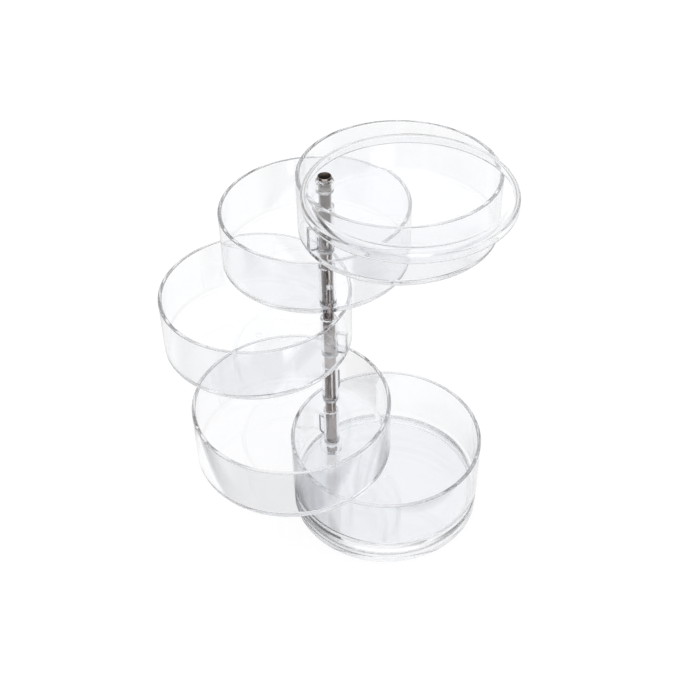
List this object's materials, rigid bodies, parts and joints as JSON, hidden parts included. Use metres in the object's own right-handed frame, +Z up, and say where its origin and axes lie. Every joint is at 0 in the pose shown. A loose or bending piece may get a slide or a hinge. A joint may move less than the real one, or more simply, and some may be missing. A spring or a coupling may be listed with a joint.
{
  "type": "rotating jewellery box",
  "caption": "Clear round trays and a lid that swivel one above another on a slim steel post, over a round base, fanning out or closing into a drum to hold small jewellery.",
  "frame": {"origin": "middle of the base's flat underside, on the surface that the box stands on", "axes": "+Z up, along the post; the lowest tray is straight above the base, and the post stands towards -X and +Y of the origin"},
  "size_m": [0.1771, 0.1742, 0.1858],
  "materials": {
    "clear_plastic": "clear polystyrene, moulded with a polished surface",
    "polished_steel": "stainless steel tube, mirror polished",
    "plain_steel": "zinc-plated steel, turned"
  },
  "bodies": {
    "stand": {"base_dish": "clear_plastic", "base_cover": "clear_plastic", "base_screw": "plain_steel", "post_tube": "polished_steel", "post_insert": "plain_steel", "clip_1": "plain_steel", "clip_2": "plain_steel", "clip_3": "plain_steel", "clip_4": "plain_steel", "clip_5": "plain_steel", "clip_6": "plain_steel"},
    "tray_1": {"tray_1": "clear_plastic"},
    "tray_2": {"tray_2": "clear_plastic"},
    "tray_3": {"tray_3": "clear_plastic"},
    "tray_4": {"tray_4": "clear_plastic"},
    "tray_5": {"tray_5": "clear_plastic"},
    "lid": {"lid": "clear_plastic"}
  },
  "joints": [
    {"name": "tray_1_swivel", "type": "hinge", "parent": "stand", "child": "tray_1", "pos_m": [-0.02877, 0.0275, 0.0119], "axis": [0, 0, 1], "continuous": true},
    {"name": "tray_2_swivel", "type": "hinge", "parent": "stand", "child": "tray_2", "pos_m": [-0.02877, 0.0275, 0.0451], "axis": [0, 0, 1], "continuous": true},
    {"name": "tray_3_swivel", "type": "hinge", "parent": "stand", "child": "tray_3", "pos_m": [-0.02877, 0.0275, 0.0783], "axis": [0, 0, 1], "continuous": true},
    {"name": "tray_4_swivel", "type": "hinge", "parent": "stand", "child": "tray_4", "pos_m": [-0.02877, 0.0275, 0.1115], "axis": [0, 0, 1], "continuous": true},
    {"name": "tray_5_swivel", "type": "hinge", "parent": "stand", "child": "tray_5", "pos_m": [-0.02877, 0.0275, 0.1447], "axis": [0, 0, 1], "continuous": true},
    {"name": "lid_swivel", "type": "hinge", "parent": "stand", "child": "lid", "pos_m": [-0.02877, 0.0275, 0.1779], "axis": [0, 0, 1], "continuous": true}
  ]
}
